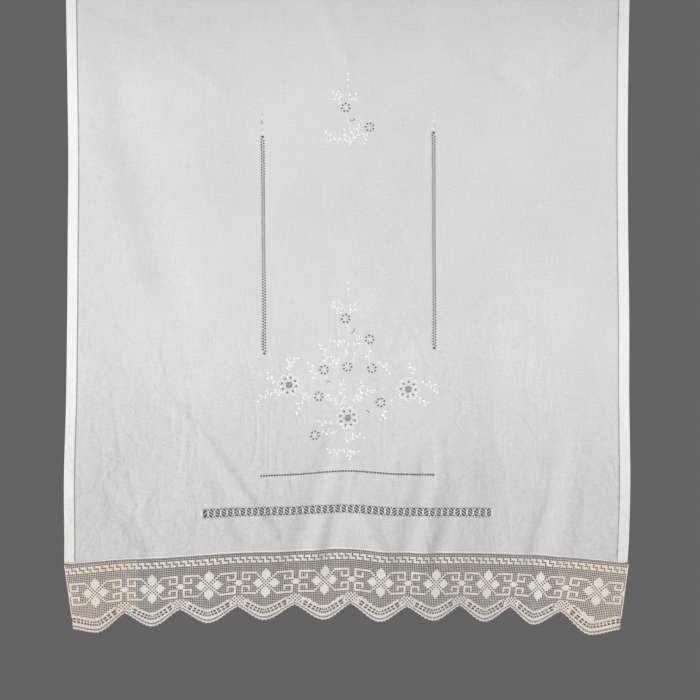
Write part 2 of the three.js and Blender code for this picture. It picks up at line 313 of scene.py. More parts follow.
# Crochet cotton: twisted thread, cream, tanned at both ends of the strip, paler where it is worked solid.
def makeCrochet():
    material, shader, place, x, z = startFabric("crochet_cotton", 0.9, 0.2)
    stain = cloudAt(place, 22) * 0.09 - 0.045 + x.size()
    tanned = stain.between(laceLook["tanFrom"] * mm, laceLook["tanTo"] * mm)
    plain = cloudAt(place, 60).between(0.3, 0.7).tint(laceLook["shade"], laceLook["cream"])
    solid = place.node("Attribute", {}, 2, attribute_type="GEOMETRY", attribute_name="solid")
    fill = (solid * (1 - tanned * 0.55)).between(0, 1)
    connect(shader, "Base Color", fill.tint(tanned.tint(plain, laceLook["tan"]), laceLook["solid"]))
    twist = (x + z).wave(1.1 * mm) * 0.6 + (x - z).wave(1.7 * mm) * 0.4 + cloudAt(place, 700) * 0.8
    connect(shader, "Normal", place.node("Bump", {"Height": twist, "Strength": 0.5, "Distance": 0.4 * mm}))
    return material


whiteCotton = makeCotton()
crochetCotton = makeCrochet()


# Turns a bmesh into a piece that rides on the part.
def addPiece(name, bm, material, smooth=True):
    mesh = bpy.data.meshes.new(name)
    bm.to_mesh(mesh)
    bm.free()
    piece = bpy.data.objects.new(name, mesh)
    bpy.context.scene.collection.objects.link(piece)
    mesh.materials.append(material)
    for face in mesh.polygons:
        face.use_smooth = smooth
    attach(piece, "root")
    return piece


def addModifier(piece, kind, **settings):
    modifier = piece.modifiers.new(kind.lower(), kind)
    for name, value in settings.items():
        setattr(modifier, name, value)
    return modifier


def applyModifiers(piece):
    graph = bpy.context.evaluated_depsgraph_get()
    finished = bpy.data.meshes.new_from_object(piece.evaluated_get(graph))
    piece.modifiers.clear()
    piece.data = finished


# A grid of the unit square, its corners moved to where place(across, down) says.
def placedGrid(columns, rows, place):
    bm = bmesh.new()
    bmesh.ops.create_grid(bm, x_segments=columns, y_segments=rows, size=0.5)
    for corner in bm.verts:
        corner.co = place(corner.co.x + 0.5, 0.5 - corner.co.y)
    return bm


# Cutters for the openwork: outlines in the flat cloth, drawn through it as prisms.
def cutterPiece(outlines):
    bm = bmesh.new()
    for outline in outlines:
        disc = bmesh.ops.create_circle(bm, cap_ends=True, segments=len(outline), radius=1)["verts"]
        for corner, (u, v) in zip(disc, outline):
            corner.co = hang(u, v)
            corner.co.y = -0.06
    walls = bmesh.ops.extrude_face_region(bm, geom=bm.faces[:])["geom"]
    bmesh.ops.translate(bm, vec=(0, 0.12, 0), verts=[v for v in walls if isinstance(v, bmesh.types.BMVert)])
    bmesh.ops.recalc_face_normals(bm, faces=bm.faces[:])
    mesh = bpy.data.meshes.new("cutter")
    bm.to_mesh(mesh)
    bm.free()
    cutter = bpy.data.objects.new("cutter", mesh)
    bpy.context.scene.collection.objects.link(cutter)
    return cutter


# The point that is a along and b across from a point, in a frame turned by "turn".
def turned(u, v, a, b, turn):
    return u + a * math.cos(turn) - b * math.sin(turn), v + a * math.sin(turn) + b * math.cos(turn)


def ovalOutline(u, v, wide, high, corners):
    angles = [2 * math.pi * (i + 0.5) / corners for i in range(corners)]
    return [(u + wide / 2 * math.cos(angle), v + high / 2 * math.sin(angle)) for angle in angles]


band = {
    "from": -290, "to": 290, "drop": 1087, "units": 46, "wide": 10.9, "high": 16.8,
    "sideWide": 3.4, "sideHigh": 3.0, "edge": 9.6, "edgePitch": 3.3, "edgeHole": 1.2,
    "lattice": 1.25, "latticeAt": 2.9, "bundle": 1.1, "bundleAt": 3.2, "knot": 2.2, "edgeThread": 0.7,
}
line = {"units": 66, "hole": 4.5, "high": 4.7, "thread": 0.7}
lineBend = table("at drop", (-174, 1017), (-90, 1015), (0, 1012), (90, 1013), (174, 1014))
ladders = table("topU topDrop footU footDrop", (-172, 342, -168, 777), (173, 334, 173, 766))
ladderWork = {"units": 76, "aside": 2.1, "hole": 3.7, "tall": 3.5, "endHole": 6.0,
              "eyeletsAbove": (12, 27, 42), "eyelet": 1.8}
hemHoles = {"u": 542.3, "from": 44, "to": 1163, "pitch": 3.6, "wide": 2.0, "tall": 2.3}

# Whitework: where the rings of eyelets, the flowers and the half-open leaves are in the flat cloth.
rings = table(
    "u v turn",
    (-4, 285, 0.2), (44, 324, 0.5),
    (-5, 707, 0.3), (43, 748, 0.1), (-48, 809, 0.4), (-1, 804, 0.0), (48, 806, 0.6),
    (-58, 862, 0.2), (66, 873, 0.5), (-65, 939, 0.25),
)
ringWork = {"radius": 7.9, "holes": 7, "hole": 3.9}
flowers = table("u v turn", (-118, 838, 0.2), (121, 846, 0.05), (0, 906, 0.3))
flowerWork = {"petals": 8, "petalAt": 15.4, "petalLong": 7.2, "petalWide": 5.6, "petalTurn": 2.5,
              "hole": 3.7, "holeAt": 14.6, "middle": 7.0}
slits = table("u v turn bow long", (11, 308, -0.5, 2.2, 12), (9, 732, -0.85, 2.0, 13),
              (-38, 832, -0.3, 1.2, 8), (39, 893, 0.6, -2.4, 14))


# The band's large openings, two small ones at each bundle between them, and stitch holes along its edges.
def bandOpenings():
    pitch = (band["to"] - band["from"]) / band["units"]
    for i in range(band["units"]):
        yield ovalOutline(band["from"] + (i + 0.5) * pitch, band["drop"], band["wide"], band["high"], 10)
        for side in (-1, 1) if i else ():
            v = band["drop"] + side * (band["high"] / 2 - 1.2)
            yield ovalOutline(band["from"] + i * pitch, v, band["sideWide"], band["sideHigh"], 6)
    count = round((band["to"] - band["from"]) / band["edgePitch"])
    for i in range(count):
        for side in (-1, 1):
            u = band["from"] + (i + 0.5) * band["edgePitch"]
            yield ovalOutline(u, band["drop"] + side * band["edge"], band["edgeHole"], band["edgeHole"], 4)


# A point of the narrow line, which is a little bent in the flat cloth as well.
def linePlace(share, aside=0.0):
    u = blendValue(lineBend[0]["at"], lineBend[-1]["at"], share)
    return u, smoothValue(lineBend, "drop", u) + aside


def lineOpenings():
    for i in range(line["units"]):
        u, v = linePlace((i + 0.5) / line["units"])
        wide, high = line["hole"] * rng.uniform(0.8, 1.05), line["high"] * rng.uniform(0.8, 1.05)
        yield ovalOutline(u, v, wide, high, 6)


# Small holes that alternate from side to side, a larger one at each end, and three eyelets above.
def ladderOpenings(ladder):
    pitch = (ladder["footDrop"] - ladder["topDrop"] - 10) / (2 * ladderWork["units"])
    for i in range(2 * ladderWork["units"]):
        v = ladder["topDrop"] + 5 + (i + 0.5) * pitch
        u = blendValue(ladder["topU"], ladder["footU"], i / (2 * ladderWork["units"]))
        side = 1 if i % 2 else -1
        yield ovalOutline(u + side * ladderWork["aside"], v, ladderWork["hole"], ladderWork["tall"], 6)
    end = ladderWork["endHole"]
    yield ovalOutline(ladder["topU"], ladder["topDrop"] + 1.5, end, end * 0.8, 6)
    yield ovalOutline(ladder["footU"], ladder["footDrop"] - 1.5, end, end * 0.8, 6)
    for above in ladderWork["eyeletsAbove"]:
        yield ovalOutline(ladder["topU"], ladder["topDrop"] - above, ladderWork["eyelet"],
                          ladderWork["eyelet"] * 1.3, 6)


def hemOpenings():
    count = round((hemHoles["to"] - hemHoles["from"]) / hemHoles["pitch"])
    for i in range(count):
        for side in (-1, 1):
            yield ovalOutline(side * hemHoles["u"], hemHoles["from"] + i * hemHoles["pitch"],
                              hemHoles["wide"], hemHoles["tall"], 4)


# The places of the eyelets in one ring, and of the eyelets in one flower's petals.
def ringPlaces(ring):
    for i in range(ringWork["holes"]):
        angle = ring["turn"] + 2 * math.pi * i / ringWork["holes"]
        yield turned(ring["u"], ring["v"], ringWork["radius"], 0, angle)


def petalPlaces(flower, radius):
    for i in range(flowerWork["petals"]):
        angle = flower["turn"] + 2 * math.pi * i / flowerWork["petals"]
        yield *turned(flower["u"], flower["v"], radius, 0, angle), angle


# A point of a half-open leaf: share runs along it, aside across it.
def slitPoint(slit, share, aside):
    along, bow = (share - 0.5) * slit["long"], slit["bow"] * (1 - (2 * share - 1) ** 2)
    return turned(slit["u"], slit["v"], along, aside + bow, slit["turn"])


def slitOutline(slit):
    there = [(share, 0.75) for share in (0.02, 0.25, 0.5, 0.75)]
    back = [(share, -0.75) for share in (0.98, 0.75, 0.5, 0.25)]
    return [slitPoint(slit, share, half * math.sin(math.pi * share)) for share, half in there + back]


def whiteworkOpenings():
    for ring in rings:
        for u, v in ringPlaces(ring):
            yield ovalOutline(u, v, ringWork["hole"], ringWork["hole"], 8)
    for flower in flowers:
        for u, v, angle in petalPlaces(flower, flowerWork["holeAt"]):
            yield ovalOutline(u, v, flowerWork["hole"], flowerWork["hole"], 8)
        yield ovalOutline(flower["u"], flower["v"], 2 * flowerWork["middle"], 2 * flowerWork["middle"], 16)
    for slit in slits:
        yield slitOutline(slit)


# The sheet of cloth, closed and cut through at every opening.
def makePanel(outlines):
    top, foot = cloth["topDrop"], cloth["seamDrop"]
    bm = placedGrid(
        cloth["columns"], cloth["rows"],
        lambda across, down: hang((2 * across - 1) * cloth["halfWidth"],
                                  blendValue(top, foot, down * (1.28 - 0.28 * down))),
    )
    panel = addPiece("panel_cloth", bm, whiteCloth)
    addModifier(panel, "SOLIDIFY", thickness=cloth["thickness"] * mm, offset=0)
    cutter = cutterPiece(outlines)
    addModifier(panel, "BOOLEAN", object=cutter, operation="DIFFERENCE", solver="MANIFOLD")
    applyModifiers(panel)
    bpy.data.objects.remove(cutter)
    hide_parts("panel")
    return panel


openings = [*bandOpenings(), *lineOpenings(), *hemOpenings(), *whiteworkOpenings()]
for ladder in ladders:
    openings += ladderOpenings(ladder)
panel = makePanel(openings)
print("panel", len(panel.data.polygons))


hemWork = {"wide": 20, "thickness": 1.4, "corner": 0.6, "rows": 170}


# A turned side hem: a thicker strip of doubled cloth along an edge.
def makeHem(name, side):
    outer, inner = cloth["halfWidth"] - 0.3, cloth["halfWidth"] - hemWork["wide"]
    stations = (inner, inner + hemWork["corner"], outer - hemWork["corner"], outer)
    bm = placedGrid(
        3, hemWork["rows"],
        lambda across, down: hang(side * stations[round(3 * across)],
                                  blendValue(cloth["topDrop"], cloth["seamDrop"], down)),
    )
    hem = addPiece(name, bm, doubledCloth)
    addModifier(hem, "SOLIDIFY", thickness=hemWork["thickness"] * mm, offset=0)
    applyModifiers(hem)
    return hem


hems = [makeHem("left_hem", -1), makeHem("right_hem", 1)]

pocket = {"radius": 12.7, "neckDrop": 30, "arcSteps": 22, "columns": 90}


# The pocket: the cloth goes over the place of the rod and down behind, to the stitch line.
def makePocket():
    touch = math.asin(pocket["radius"] / pocket["neckDrop"])
    path = [(-0.45, -pocket["neckDrop"] - 2)]
    for i in range(pocket["arcSteps"] + 1):
        angle = math.pi + touch - (math.pi + 2 * touch) * i / pocket["arcSteps"]
        path.append((pocket["radius"] * math.cos(angle), pocket["radius"] * math.sin(angle)))
    path += [(0.45, -pocket["neckDrop"] - 2), (0.45, -pocket["neckDrop"] - 8)]

    def place(across, down):
        x = (2 * across - 1) * cloth["halfWidth"]
        y, z = path[round(down * (len(path) - 1))]
        slack = 0.6 * noise.noise(Vector((x / 70, 9.1, down * 3))) * math.sin(math.pi * down)
        return Vector((x, y + slack, z)) * mm

    bm = placedGrid(pocket["columns"], len(path) - 1, place)
    piece = addPiece("pocket_cloth", bm, whiteCloth)
    addModifier(piece, "SOLIDIFY", thickness=cloth["thickness"] * mm, offset=0)
    applyModifiers(piece)
    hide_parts("rod_pocket")
    return piece


pocketCloth = makePocket()
print("hems and pocket")


# One padded satin stitch leaf or dot: a low dome on both faces of the cloth.
def addSatin(bm, u, v, long, wide, turn=0.0, high=0.75):
    for corner in bmesh.ops.create_uvsphere(bm, u_segments=7, v_segments=5, radius=1)["verts"]:
        a, b, out = corner.co.z * long / 2, corner.co.x * wide / 2, corner.co.y * high
        corner.co = hang(*turned(u, v, a, b, turn), out)


# A cord stitched down along path(share), which gives the flat u and v. Open ends taper off.
def addCord(bm, path, wide, high, steps, closed=False, sides=5, out=0.0):
    made = bmesh.ops.create_grid(bm, x_segments=steps, y_segments=sides, size=0.5)["verts"]
    for corner in made:
        share, around = corner.co.x + 0.5, (corner.co.y + 0.5) * 2 * math.pi
        u, v = path(share)
        before, after = path(share - 0.01), path(share + 0.01)
        du, dv = after[0] - before[0], after[1] - before[1]
        length = math.hypot(du, dv) or 1.0
        taper = 1.0 if closed else math.sin(math.pi * clamp(share)) ** 0.3
        taper *= 1 + 0.12 * math.cos(share * steps * math.pi)
        aside, lift = math.cos(around) * wide / 2 * taper, math.sin(around) * high * taper
        corner.co = hang(u - dv / length * aside, v + du / length * aside, out + lift)
    bmesh.ops.remove_doubles(bm, verts=made, dist=2e-6)


# A petal's outline: a drop that is open towards the flower's middle.
def petalPath(flower, angle):
    def path(share):
        around = flowerWork["petalTurn"] * (2 * share - 1)
        a = flowerWork["petalAt"] + flowerWork["petalLong"] * math.cos(around)
        b = flowerWork["petalWide"] * math.sin(around)
        return turned(flower["u"], flower["v"], a, b, angle)
    return path


def circlePath(u, v, radius):
    return lambda share: turned(u, v, radius, 0, 2 * math.pi * share)


# A stem from one point to another that bows to its right by "bow".
def bowPath(u0, v0, u1, v1, bow):
    length = math.hypot(u1 - u0, v1 - v0) or 1.0
    du, dv = (u1 - u0) / length, (v1 - v0) / length

    def path(share):
        off = bow * 4 * share * (1 - share)
        return blendValue(u0, u1, share) - dv * off, blendValue(v0, v1, share) + du * off
    return path


stitch = {
    "leaf": 6.8, "leafWide": 3.6, "leafPitch": 6.5, "stem": 1.5, "stemHigh": 0.6,
    "rim": 0.6, "rimHigh": 0.6, "petal": 1.9, "petalHigh": 0.8, "net": 1.95, "netThread": 0.42,
}


# A stem with leaves to either side of it and one at its tip.
def addSprig(bm, sprig):
    path = bowPath(sprig["u0"], sprig["v0"], sprig["u1"], sprig["v1"], sprig["bow"])
    length = math.hypot(sprig["u1"] - sprig["u0"], sprig["v1"] - sprig["v0"])
    addCord(bm, path, stitch["stem"], stitch["stemHigh"], max(4, round(length / 2.6)), sides=4)
    leaves = min(sprig["leaves"], round(length / stitch["leafPitch"]) + 1)
    for i in range(leaves):
        tip = i == leaves - 1
        share = 1.0 if tip else (i + 0.8) / leaves
        u, v = path(share)
        before, after = path(share - 0.02), path(share + 0.02)
        heading = math.atan2(after[1] - before[1], after[0] - before[0])
        side = 0 if tip else (1 if i % 2 else -1)
        heading += side * (0.95 + rng.uniform(-0.2, 0.2))
        size = rng.uniform(0.88, 1.12)
        reach = 2.2 if tip else 5.0
        addSatin(bm, u + reach * math.cos(heading), v + reach * math.sin(heading),
                 stitch["leaf"] * size, stitch["leafWide"] * size, heading)


# The overcast rim of an eyelet.
def addRim(bm, u, v, hole):
    addCord(bm, circlePath(u, v, hole / 2 + 0.45), stitch["rim"], stitch["rimHigh"], 9, closed=True)


def addRing(bm, ring):
    for u, v in ringPlaces(ring):
        addRim(bm, u, v, ringWork["hole"])
    addSatin(bm, ring["u"], ring["v"], 1.4, 1.4, high=0.5)


# A flower: open petals with an eyelet in each, and a net of fine threads over its middle.
def addFlower(bm, flower):
    for u, v, angle in petalPlaces(flower, flowerWork["holeAt"]):
        addCord(bm, petalPath(flower, angle), stitch["petal"], stitch["petalHigh"], 18)
        addRim(bm, u, v, flowerWork["hole"])
    middle = flowerWork["middle"]
    addCord(bm, circlePath(flower["u"], flower["v"], middle + 0.3), 1.1, 0.6, 26, closed=True)
    count = round(2 * middle / stitch["net"])
    for i in range(count):
        across = -middle + (i + 0.5) * 2 * middle / count
        half = math.sqrt(middle ** 2 - across ** 2)
        for du, dv in ((1, 0), (0, 1)):
            ends = (flower["u"] + across * dv - half * du, flower["v"] + across * du - half * dv,
                    flower["u"] + across * dv + half * du, flower["v"] + across * du + half * dv)
            addCord(bm, bowPath(*ends, 0), stitch["netThread"], 0.2, 4, sides=4, out=0.12 * (du - dv))


def addSlit(bm, slit):
    for side in (-1, 1):
        def path(share):
            return slitPoint(slit, share, side * (0.4 + 1.6 * math.sin(math.pi * clamp(share))))

        addCord(bm, path, 1.2, 0.6, 10)


def finishWhitework(name, bm):
    bmesh.ops.recalc_face_normals(bm, faces=bm.faces[:])
    return addPiece(name, bm, whiteCotton)


upperSprigs = table(
    "u0 v0 u1 v1 bow leaves",
    (-7, 275, -28, 256, -4, 5), (-8, 273, -17, 254, 2, 2), (2, 275, 16, 260, 3, 3),
    (2, 274, 4, 261, 0, 1), (-7, 294, 4, 344, -4, 0), (4, 344, 3, 366, 0, 0),
    (0, 338, -43, 336, -14, 7), (3, 362, -6, 331, 2, 4), (5, 362, 12, 328, 2, 4),
    (8, 352, 23, 322, 4, 4), (46, 332, 33, 354, 5, 4),
)
lowerSprigs = table(
    "u0 v0 u1 v1 bow leaves",
    (-10, 697, -29, 676, -4, 4), (-6, 696, -17, 675, 2, 2), (1, 697, 14, 681, 3, 3),
    (1, 696, 4, 682, 0, 1), (-7, 716, 2, 756, -6, 1), (2, 756, -1, 795, 6, 2),
    (-7, 742, -33, 752, -9, 5), (-44, 800, -55, 761, 5, 6), (-31, 806, -33, 786, 0, 3),
    (-27, 806, -19, 791, 2, 2), (7, 764, 22, 745, 3, 4), (44, 757, 43, 796, 2, 3),
    (6, 792, 13, 779, 2, 1), (-66, 834, -78, 797, 4, 5), (-117, 814, -101, 786, -7, 6),
    (-118, 814, -121, 790, 1, 1), (-140, 830, -160, 816, -4, 4), (-128, 856, -178, 868, 9, 7),
    (-98, 850, -70, 861, 4, 2), (-70, 862, -101, 892, 9, 6), (-48, 861, -13, 886, -5, 6),
    (-4, 882, -9, 832, -4, 6), (12, 880, 27, 836, 4, 7), (15, 872, 52, 849, -5, 7),
    (56, 802, 83, 812, -9, 6), (132, 822, 125, 797, 3, 4), (144, 838, 179, 850, -9, 8),
    (100, 860, 90, 866, 1, 1), (69, 884, 68, 906, -5, 4), (-28, 906, -57, 912, -7, 4),
    (-54, 939, -29, 934, -3, 5), (-3, 930, -3, 962, 0, 0), (2, 962, 32, 944, -12, 6),
    (-3, 964, -38, 969, -8, 7), (2, 966, 21, 974, 9, 5), (-2, 964, 4, 986, -1, 3),
    (140, 858, 160, 872, 5, 5),
)
dots = table("u v", (1, 217), (1, 229), (1, 242), (1, 635), (1, 648), (1, 661))


# One spray: its sprigs, and the rings, flowers, half-open leaves and dots between two heights.
def makeWhitework(name, sprigs, top, foot):
    bm = bmesh.new()
    for sprig in sprigs:
        addSprig(bm, sprig)
    for adder, rows in ((addRing, rings), (addFlower, flowers), (addSlit, slits)):
        for row in rows:
            if top < row["v"] < foot:
                adder(bm, row)
    for dot in dots:
        if top < dot["v"] < foot:
            addSatin(bm, dot["u"], dot["v"], 4.8, 4.4, 0, high=1.1)
    return finishWhitework(name, bm)


whitework = [
    makeWhitework("upper_spray", upperSprigs, 0, 500),
    makeWhitework("lower_spray", lowerSprigs, 500, 1000),
]
print("whitework")


# The band's threads: a lattice in each opening, bundles drawn together between them, and the edges.
def makeBandThreads():
    bm = bmesh.new()
    pitch = (band["to"] - band["from"]) / band["units"]
    high = band["high"] / 2
    for i in range(band["units"]):
        u = band["from"] + (i + 0.5) * pitch
        lean = 1 if i % 5 else -1
        for step in (-1, 1) if i else (0,):
            v = band["drop"] + step * band["latticeAt"]
            reach = band["wide"] / 2 * (0.92 if step else 1)
            rise = lean * reach * 0.8
            strand = bowPath(u - reach, v - rise, u + reach, v + rise, 0)
            addCord(bm, strand, band["lattice"], 0.3, 4, sides=4)
    for i in range(band["units"] + 1):
        u = band["from"] + i * pitch
        for side in (-1, 1):
            x = u - side * band["bundleAt"]
            bundle = bowPath(x, band["drop"] - high, x, band["drop"] + high, side * -2.4)
            addCord(bm, bundle, band["bundle"], 0.5, 8)
        addCord(bm, bowPath(u - 1.4, band["drop"], u + 1.4, band["drop"], 0), band["knot"], 0.9, 4)
    for side in (-1, 1):
        for shift in (0.2, 2.6):
            v = band["drop"] + side * (high + shift)
            edge = bowPath(band["from"], v, band["to"], v, 0)
            addCord(bm, edge, band["edgeThread"], 0.35, 260, sides=4)
    for end in ("from", "to"):
        addCord(bm, bowPath(band[end], band["drop"] - 9.5, band[end], band["drop"] + 9.5, 0), 1.4, 0.6, 8)
    return finishWhitework("band_threads", bm)


# The thread that runs down a ladder from side to side, between its holes.
def zigzagPath(ladder):
    def path(share):
        along = clamp(share) * 2 * ladderWork["units"] - 0.5
        swing = math.cos(math.pi * along) * (ladderWork["aside"] + 0.4)
        return (blendValue(ladder["topU"], ladder["footU"], share) + swing,
                blendValue(ladder["topDrop"] + 5, ladder["footDrop"] - 5, share))
    return path


# Overcast edges of the narrow line and of the ladders, with each ladder's zigzag thread and eyelets.
def makeLadderThreads():
    bm = bmesh.new()
    for ladder in ladders:
        for side in (-1, 1):
            offset = side * (ladderWork["aside"] + ladderWork["hole"] / 2 + 0.35)
            edge = bowPath(ladder["topU"] + offset, ladder["topDrop"] - 1,
                           ladder["footU"] + offset, ladder["footDrop"] + 1, 0)
            addCord(bm, edge, 0.6, 0.45, 170, sides=4)
        addCord(bm, zigzagPath(ladder), 1.0, 0.5, 4 * ladderWork["units"], sides=4)
        for above in ladderWork["eyeletsAbove"]:
            v = ladder["topDrop"] - above
            addCord(bm, circlePath(ladder["topU"], v, 1.3), 0.8, 0.5, 8, closed=True)
            addSatin(bm, ladder["topU"], v + 5.5, 3.4, 2.2, math.pi / 2, high=0.6)
    for side in (-1, 1):
        aside = side * (line["high"] / 2 + 0.4)
        addCord(bm, lambda share: linePlace(clamp(share), aside), line["thread"], 0.45, 150, sides=4)
    return finishWhitework("ladder_threads", bm)


# Hemstitches that hold the turned hems: one short slanting stitch between holes.
def makeHemstitches():
    bm = bmesh.new()
    count = round((hemHoles["to"] - hemHoles["from"]) / hemHoles["pitch"])
    for i in range(count):
        v = hemHoles["from"] + (i + 0.5) * hemHoles["pitch"]
        for side in (-1, 1):
            addSatin(bm, side * (hemHoles["u"] + 2.0), v, 2.8, 1.0, 0.5 * side, high=0.5)
    return finishWhitework("hem_stitches", bm)


# The narrow roll at the foot of the cloth, to which the lace is sewn.
def makeFootRoll():
    bm = bmesh.new()
    v = cloth["seamDrop"] + 0.6
    addCord(bm, bowPath(-562, v, 562, v, 0), 4.6, 0.9, 460, sides=7)
    bmesh.ops.recalc_face_normals(bm, faces=bm.faces[:])
    return addPiece("foot_roll", bm, doubledCloth)


threads = [makeBandThreads(), makeLadderThreads(), makeHemstitches(), makeFootRoll()]
print("drawn work")


# The crochet lace: ten scallops of 32 columns of filet mesh, a border of larger holes, and picots.
lace = {
    "spread": 18, "top": 3.0, "headingRow": 3.8, "headingRows": 8, "row": 3.4, "lastRow": 36,
    "flowerRow": 16, "rowSag": 2.0, "columnsPerScallop": 32, "thread": 0.46, "endThread": 0.62,
    "endsFrom": 420,
}
scallops = table(
    "notch notchDrop middle footDrop",
    (-548, 1326, -502, 1334), (-446, 1296, -392, 1323), (-336, 1289, -280, 1316), (-220, 1283, -168, 1310),
    (-106, 1279, -48, 1309), (6, 1276, 64, 1312), (118, 1282, 172, 1310), (224, 1281, 274, 1314),
    (326, 1285, 372, 1320), (426, 1293, 486, 1339), (544, 1328, 544, 1328),
)
laceEnd = 544
seamShift = table(
    "at shift",
    (-544, 0), (-502, 9), (-392, 7), (-280, 6), (-168, 7), (-48, 4), (64, 4), (172, 8), (274, 9), (372, 15),
    (486, 10), (544, 0),
)


# The scalloped edge at a station: u counts scallops from the left.
def laceEdge(u):
    i = min(int(u), 9)
    share = u - i
    side = scallops[i] if share < 0.5 else scallops[i + 1]
    nearNotch = min(share, 1 - share) / 0.5
    x = blendValue(side["notch"], scallops[i]["middle"], nearNotch)
    fall = nearNotch * (0.8 + 1.4 * nearNotch - 1.2 * nearNotch ** 2)
    return x, blendValue(side["notchDrop"], scallops[i]["footDrop"], fall)


def seamAbove(u):
    x, _ = laceEdge(u)
    seamX = x + lace["spread"] * (x / laceEnd) ** 3 + smoothValue(seamShift, "shift", x)
    flatU, _ = flatOf(seamX, 1185)
    return seamX, cloth["seamDrop"] + smoothValue(seamSag, "sag", flatU)


# A point of the lace at a station and a depth below the seam.
def laceHang(u, depth, out=0.0):
    seamX, seamDrop = seamAbove(u)
    edgeX, edgeDrop = laceEdge(u)
    share = depth / (edgeDrop - seamDrop)
    x, drop = blendValue(seamX, edgeX, share), seamDrop + depth
    uneven = 0.5 * noise.noise(Vector((x / 24, drop / 24, 8.2)))
    return Vector((x, -forwardAt(x, drop) - out - uneven, -drop)) * mm


solidBand = ((10, -10), (8, -11), (7, -12), (5, -13), (4, -14), (0, -15))  # from a column on, up to a row


# The chart: c counts columns from the flower's middle (-16 to 15), r rows above it. It gives how
# solid a cell is worked: 0 for open mesh, 1 for the padded petals.
def fillAt(c, r):
    c = abs(c)
    if r >= 9:
        return 0
    if r == 0 and c >= 14 or abs(r) == 1 and c >= 15:
        return 1  # small diamond between two flowers
    if abs(r) <= {2: 0, 3: 1, 4: 2, 5: 2, 6: 1, 7: 0}.get(c, -1):
        return 1  # petals at the sides
    if c <= {2: 0, 3: 1, 4: 2, 5: 2, 6: 2, 7: 1, 8: 0}.get(abs(r), -1):
        return 1  # upright petals, which are longer
    if c <= 6 and c == abs(r):
        return 0.5
    if c + abs(r) <= 4 and (c + r) % 2 == 0:
        return 0.6  # lattice of the flower's middle
    if abs(r) == 6 and 7 <= c <= 14 or c == 14 and 2 <= abs(r) <= 6:
        return 0.3  # keys
    if abs(r) == 2 and 10 <= c <= 14 or c == 10 and 2 <= abs(r) <= 4:
        return 0.3
    if c >= 13 and -14 <= r <= -8:
        return 0.6 * ((c + r) % 2 == 0)  # lattice above each notch
    bandTop = next(top for column, top in solidBand if c >= column)
    return 0.6 * (c <= 14 and r <= bandTop)


# The heading's running pattern has a period of four columns.
def isHeadingFilled(k, r):
    return (r == 14 and k % 4 in (1, 2, 3)) or (r == 13 and k % 4 == 3) or (r == 12 and k % 4 in (3, 0, 1))


def rowDepth(row):  # depth of the top of a row, counted from the seam
    heading = min(row, lace["headingRows"])
    return lace["top"] + heading * lace["headingRow"] + max(0, row - lace["headingRows"]) * lace["row"]


def laceColumn(k):
    return clamp((k - 0.5) / lace["columnsPerScallop"], 0, 10)


# Distance of a point of the lace from its scalloped edge.
def insideEdge(u, depth):
    edgeX, edgeDrop = laceEdge(u)
    _, seamDrop = seamAbove(u)
    before, after = laceEdge(max(u - 0.01, 0)), laceEdge(min(u + 0.01, 9.999))
    slope = math.atan2(after[1] - before[1], after[0] - before[0])
    return (edgeDrop - seamDrop - depth) * math.cos(slope)


# Lines of the border: how far in from the edge each runs at a scallop's ends and at its middle.
borderLines = table(
    "name end middle",
    ("edge", 0.4, 0.6), ("smallOut", 2.2, 3.2), ("smallIn", 4.8, 6.8), ("bandIn", 6.6, 12.2),
    ("holesIn", 16.4, 22.6), ("netIn", 20.2, 26.6),
)
border = {"from": 0.1, "to": 0.91, "picots": 16}


# The first and the last scallop are cut off at full depth.
def isCutEnd(u):
    return u < 0.5 or u > 9.5


def inwardAt(name, u):
    row = next(row for row in borderLines if row["name"] == name)
    return blendValue(row["end"], row["middle"], 1.0 if isCutEnd(u) else math.sin(math.pi * (u % 1)) ** 2)


